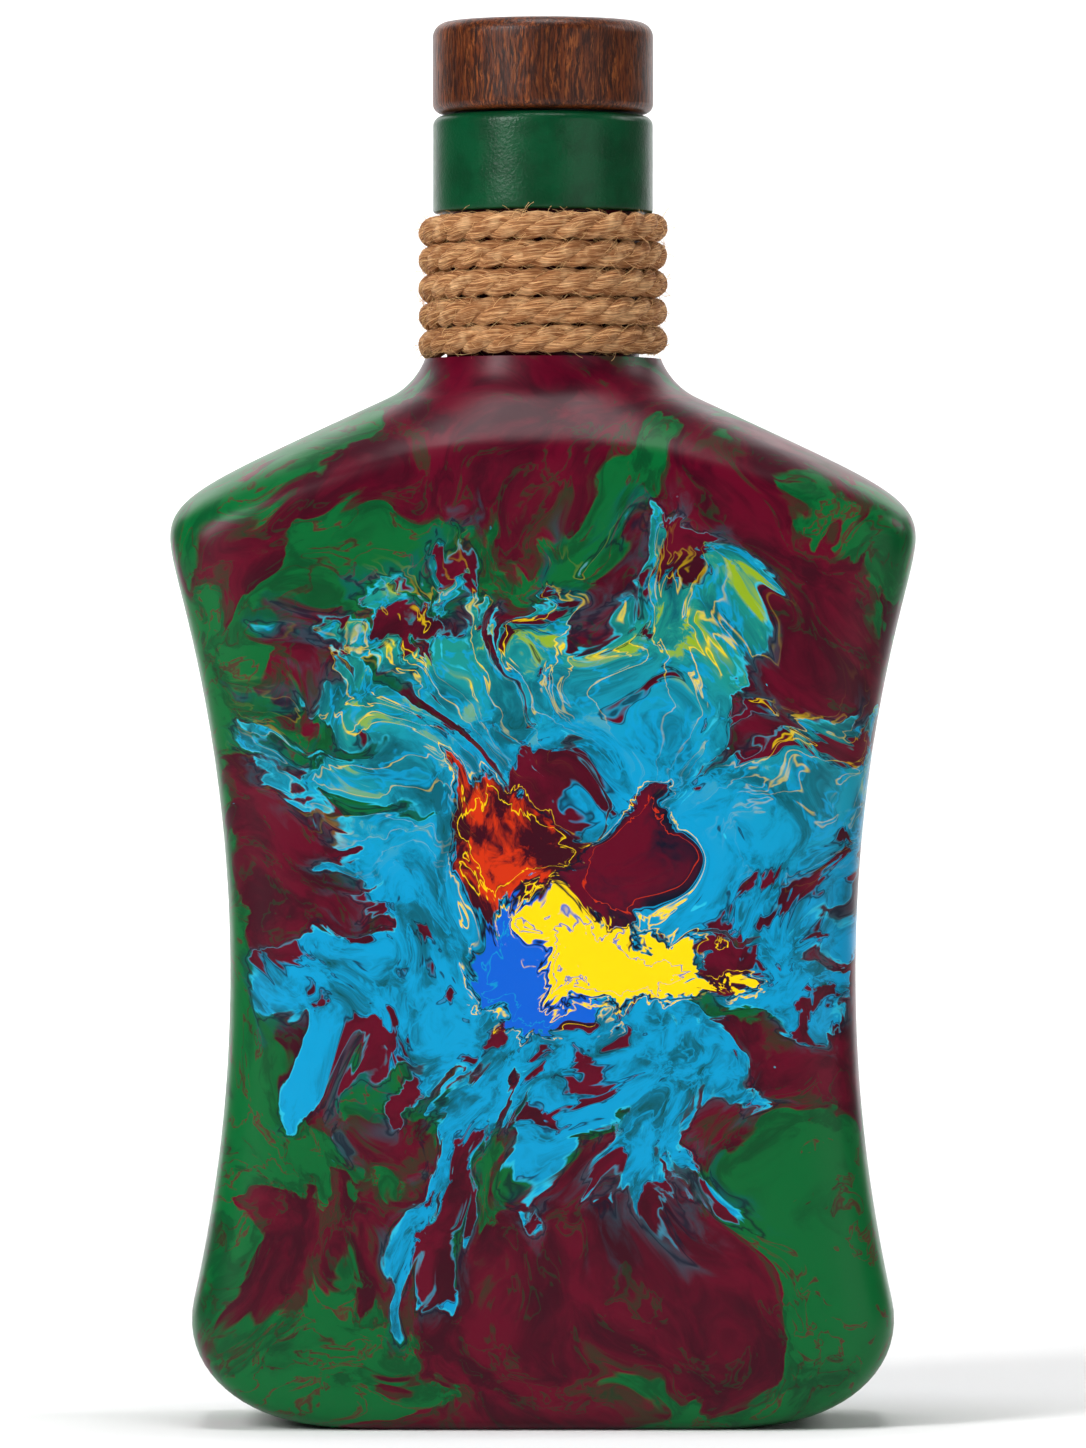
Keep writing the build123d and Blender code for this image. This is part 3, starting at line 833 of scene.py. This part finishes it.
def looseTree():
    # Short bent fibres that stand off the rope, most of them lying along it
    tree, given = treeWithInputs("ropeFibres", (
        ("Density", "NodeSocketFloat"), ("Fibre Length", "NodeSocketFloat"), ("Fibre Radius", "NodeSocketFloat"),
        ("Seed", "NodeSocketInt"), ("Material", "NodeSocketMaterial")))
    scatter = tree.nodes.new("GeometryNodeDistributePointsOnFaces")
    for label, key in (("Mesh", "Geometry"), ("Density", "Density"), ("Seed", "Seed")):
        tree.links.new(given[key].socket, scatter.inputs[label])
    normal, points = Field(tree, scatter.outputs["Normal"]), Field(tree, scatter.outputs["Points"])
    x, y, _ = parts(wire(tree, "GeometryNodeInputPosition"))
    around = combined(tree, y * -1.0, x, 0.0)
    facing = wire(tree, "FunctionNodeAlignRotationToVector", {"Vector": normal}, axis="Z")
    facing = wire(tree, "FunctionNodeAlignRotationToVector", {"Rotation": facing, "Vector": around},
                  axis="X", pivot_axis="Z")
    tilt = wire(tree, "FunctionNodeRandomValue", {0: rope["tiltLow"], 1: rope["tiltHigh"], "Seed": given["Seed"]},
                data_type="FLOAT_VECTOR")
    side = wire(tree, "FunctionNodeRandomValue", {2: 0.0, 3: 1.0, "Seed": given["Seed"] + 1.0},
                out=1, data_type="FLOAT")
    flip = combined(tree, 0.0, 0.0, side.math("GREATER_THAN", 0.5) * math.pi)
    turn = wire(tree, "FunctionNodeEulerToRotation", {0: vectorMath("ADD", tilt, flip)})
    facing = wire(tree, "FunctionNodeRotateRotation", {"Rotation": facing, "Rotate By": turn},
                  rotation_space="LOCAL")
    low, high = rope["looseSizes"]
    size = wire(tree, "FunctionNodeRandomValue", {2: low, 3: high, "Seed": given["Seed"] + 2.0},
                out=1, data_type="FLOAT")
    bend = tree.nodes.new("GeometryNodeCurveQuadraticBezier")
    bend.inputs["Resolution"].default_value = 4
    for label, offset in (("Middle", rope["bendMiddle"]), ("End", rope["bendEnd"])):
        point = scaled(combined(tree, *offset), given["Fibre Length"])
        tree.links.new(point.socket, bend.inputs[label])
    bend.inputs["Start"].default_value = (0, 0, 0)
    ring = wire(tree, "GeometryNodeCurvePrimitiveCircle", {"Resolution": 3, "Radius": given["Fibre Radius"]},
                mode="RADIUS")
    fibre = wire(tree, "GeometryNodeCurveToMesh",
                 {"Curve": Field(tree, bend.outputs[0]), "Profile Curve": ring, "Fill Caps": True})
    placed = wire(tree, "GeometryNodeInstanceOnPoints",
                  {"Points": points, "Instance": fibre, "Rotation": facing, "Scale": combined(tree, size, size, size)})
    finishTree(tree, placed, given["Material"])
    return tree


def juteMaterial(name, tone, loose=False):
    material, tree, shader = newMaterial(name, Roughness=0.8, Specular_IOR_Level=0.25)
    if loose:
        shader.inputs["Base Color"].default_value = tone
        return material
    place = objectPlace(tree)
    along = wire(tree, "ShaderNodeAttribute", out=2, attribute_name="along")
    rim = wire(tree, "ShaderNodeAttribute", out=1, attribute_name="rim")
    skin = fibrePlace(along, rim)
    threads = cloud(skin, 0.15, 1.0, detail=3.0, rough=0.65)
    furrowDepth = cloud(skin, 0.42, 2.0, detail=2.0, rough=0.6)
    worn = cloud(place, 2.2, 3.0, detail=3.0)
    colour = blend(threads.rise(0.38, 0.60), rope["brown"], tone)
    # painted shade: brown where the furrows sink, on the same field that sinks them in ropeStrands
    colour = blend(furrowDepth.rise(0.56, 0.40) * 0.5, colour, rope["brown"])
    colour = blend(worn.rise(0.45, 0.7) * 0.35 + threads.rise(0.54, 0.66) * 0.65, colour, rope["pale"])
    plug(shader, "Base Color", colour)
    plug(shader, "Normal", bump(threads + furrowDepth * 0.6, 0.85, 0.00035))
    return material


def makeRope():
    path = pathCurve("ropeLine", ropePath())
    strands = baked("ropeTwist", path, strandTree(), {
        "Lay": rope["lay"] * mm, "Strand Offset": rope["strandOffset"] * mm, "Strand Radius": rope["strandRadius"] * mm,
        "Step": rope["step"] * mm, "Sides": rope["sides"], "Furrow": rope["furrow"] * mm,
        "Material": juteMaterial("juteRope", rope["tan"])})
    bpy.data.objects.remove(path)
    area = sum(face.area for face in strands.data.polygons)
    loose = baked("ropeFibres", strands, looseTree(), {
        "Density": rope["looseCount"] / area, "Fibre Length": rope["looseLength"] * mm,
        "Fibre Radius": rope["looseRadius"] * mm, "Seed": rope["seed"],
        "Material": juteMaterial("juteFibre", rope["looseTan"], loose=True)})
    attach(strands, "bottle")
    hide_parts("rope_winding")
    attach(loose, "bottle")
    print("rope faces", len(strands.data.polygons), "loose", len(loose.data.polygons))


makeRope()
print("rope made")


# Studio: camera, floor and lights

studio = {
    "distance": 1750.0, "height": 119.3, "lens": 253.8, "sensor": 36.0, "clip": (0.05, 50.0),
    "floor": (0.9, 0.9, 0.9, 1.0), "front": 0.05, "behind": 0.9, "backBand": (0.35, 0.95),
    "floorFront": -3.0, "curveStart": 2.2, "curveRadius": 1.0, "wallTop": 4.0, "floorHalf": 4000,
    # name: place, target and size in metres, power in watts
    "lights": {
        "keyLight": ((-0.85, -0.95, 0.80), (0, 0, 0.12), (0.34, 0.8), 16.5),
        "fillLight": ((1.0, -1.1, 0.35), (0, 0, 0.12), (1.0, 1.0), 4),
        "rimLight": ((1.1, 0.3, 0.9), (0, 0, 0.14), (0.4, 0.5), 3.5),
        "topLight": ((0.0, -0.1, 1.3), (0, 0, 0.0), (0.5, 0.5), 8.5),
        "leftWash": ((-1.5, 1.8, 1.2), (-0.8, 3.2, 0.3), (0.8, 1.0), 34),
        "rightWash": ((1.5, 1.8, 1.2), (0.8, 3.2, 0.3), (0.8, 1.0), 34),
        "floorWash": ((0.0, 1.4, 1.1), (0, 1.4, 0.0), (2.4, 0.9), 14),
    },
}


def makeCamera():
    data = bpy.data.cameras.new("camera")
    data.lens, data.sensor_width, data.sensor_fit = studio["lens"], studio["sensor"], "AUTO"
    data.clip_start, data.clip_end = studio["clip"]
    camera = bpy.data.objects.new("camera", data)
    camera.location = (0, -studio["distance"] * mm, studio["height"] * mm)
    camera.rotation_euler = (math.pi / 2, 0, 0)
    bpy.context.scene.collection.objects.link(camera)
    bpy.context.scene.camera = camera


def makeFloor():
    # A sweep: flat under the bottle, then curving up behind it
    start, radius, half = studio["curveStart"], studio["curveRadius"], studio["floorHalf"]
    line = [(studio["floorFront"], 0.0), (start, 0.0)]
    for i in range(1, 17):
        angle = math.pi / 2 * i / 16
        line.append((start + radius * math.sin(angle), radius * (1 - math.cos(angle))))
    line.append((start + radius, studio["wallTop"]))
    points, faces = [], []
    for y, z in line:
        points += [(-half, y / mm, z / mm), (half, y / mm, z / mm)]
    for i in range(len(line) - 1):
        faces.append((2 * i, 2 * i + 1, 2 * i + 3, 2 * i + 2))
    material, tree, shader = newMaterial("paleFloor", Roughness=0.9, Specular_IOR_Level=0.0)
    shader.inputs["Base Color"].default_value = studio["floor"]
    floor = meshObject("floorSweep", points, faces, [material])


def softLight(name, location, target, size, power):
    data = bpy.data.lights.new(name, "AREA")
    data.shape, data.size, data.size_y = "RECTANGLE", size[0], size[1]
    data.energy = power
    light = bpy.data.objects.new(name, data)
    light.location = location
    light.rotation_euler = (Vector(target) - Vector(location)).to_track_quat("-Z", "Y").to_euler()
    bpy.context.scene.collection.objects.link(light)


def makeWorld():
    # Dim in front of the bottle and bright behind it, so that its face isn't veiled
    world = bpy.data.worlds.new("studioWorld")
    bpy.context.scene.world = world
    world.use_nodes = True
    tree = world.node_tree
    _, back, _ = parts(wire(tree, "ShaderNodeTexCoord", out=0))
    strength = mixed(back.rise(*studio["backBand"]), studio["front"], studio["behind"])
    tree.links.new(strength.socket, tree.nodes["Background"].inputs["Strength"])
    tree.nodes["Background"].inputs["Color"].default_value = (1, 1, 1, 1)


def makeStudio():
    makeCamera()
    makeFloor()
    for name, settings in studio["lights"].items():
        softLight(name, *settings)
    makeWorld()
    bpy.context.scene.view_settings.view_transform = "Standard"


makeStudio()
print("studio made")
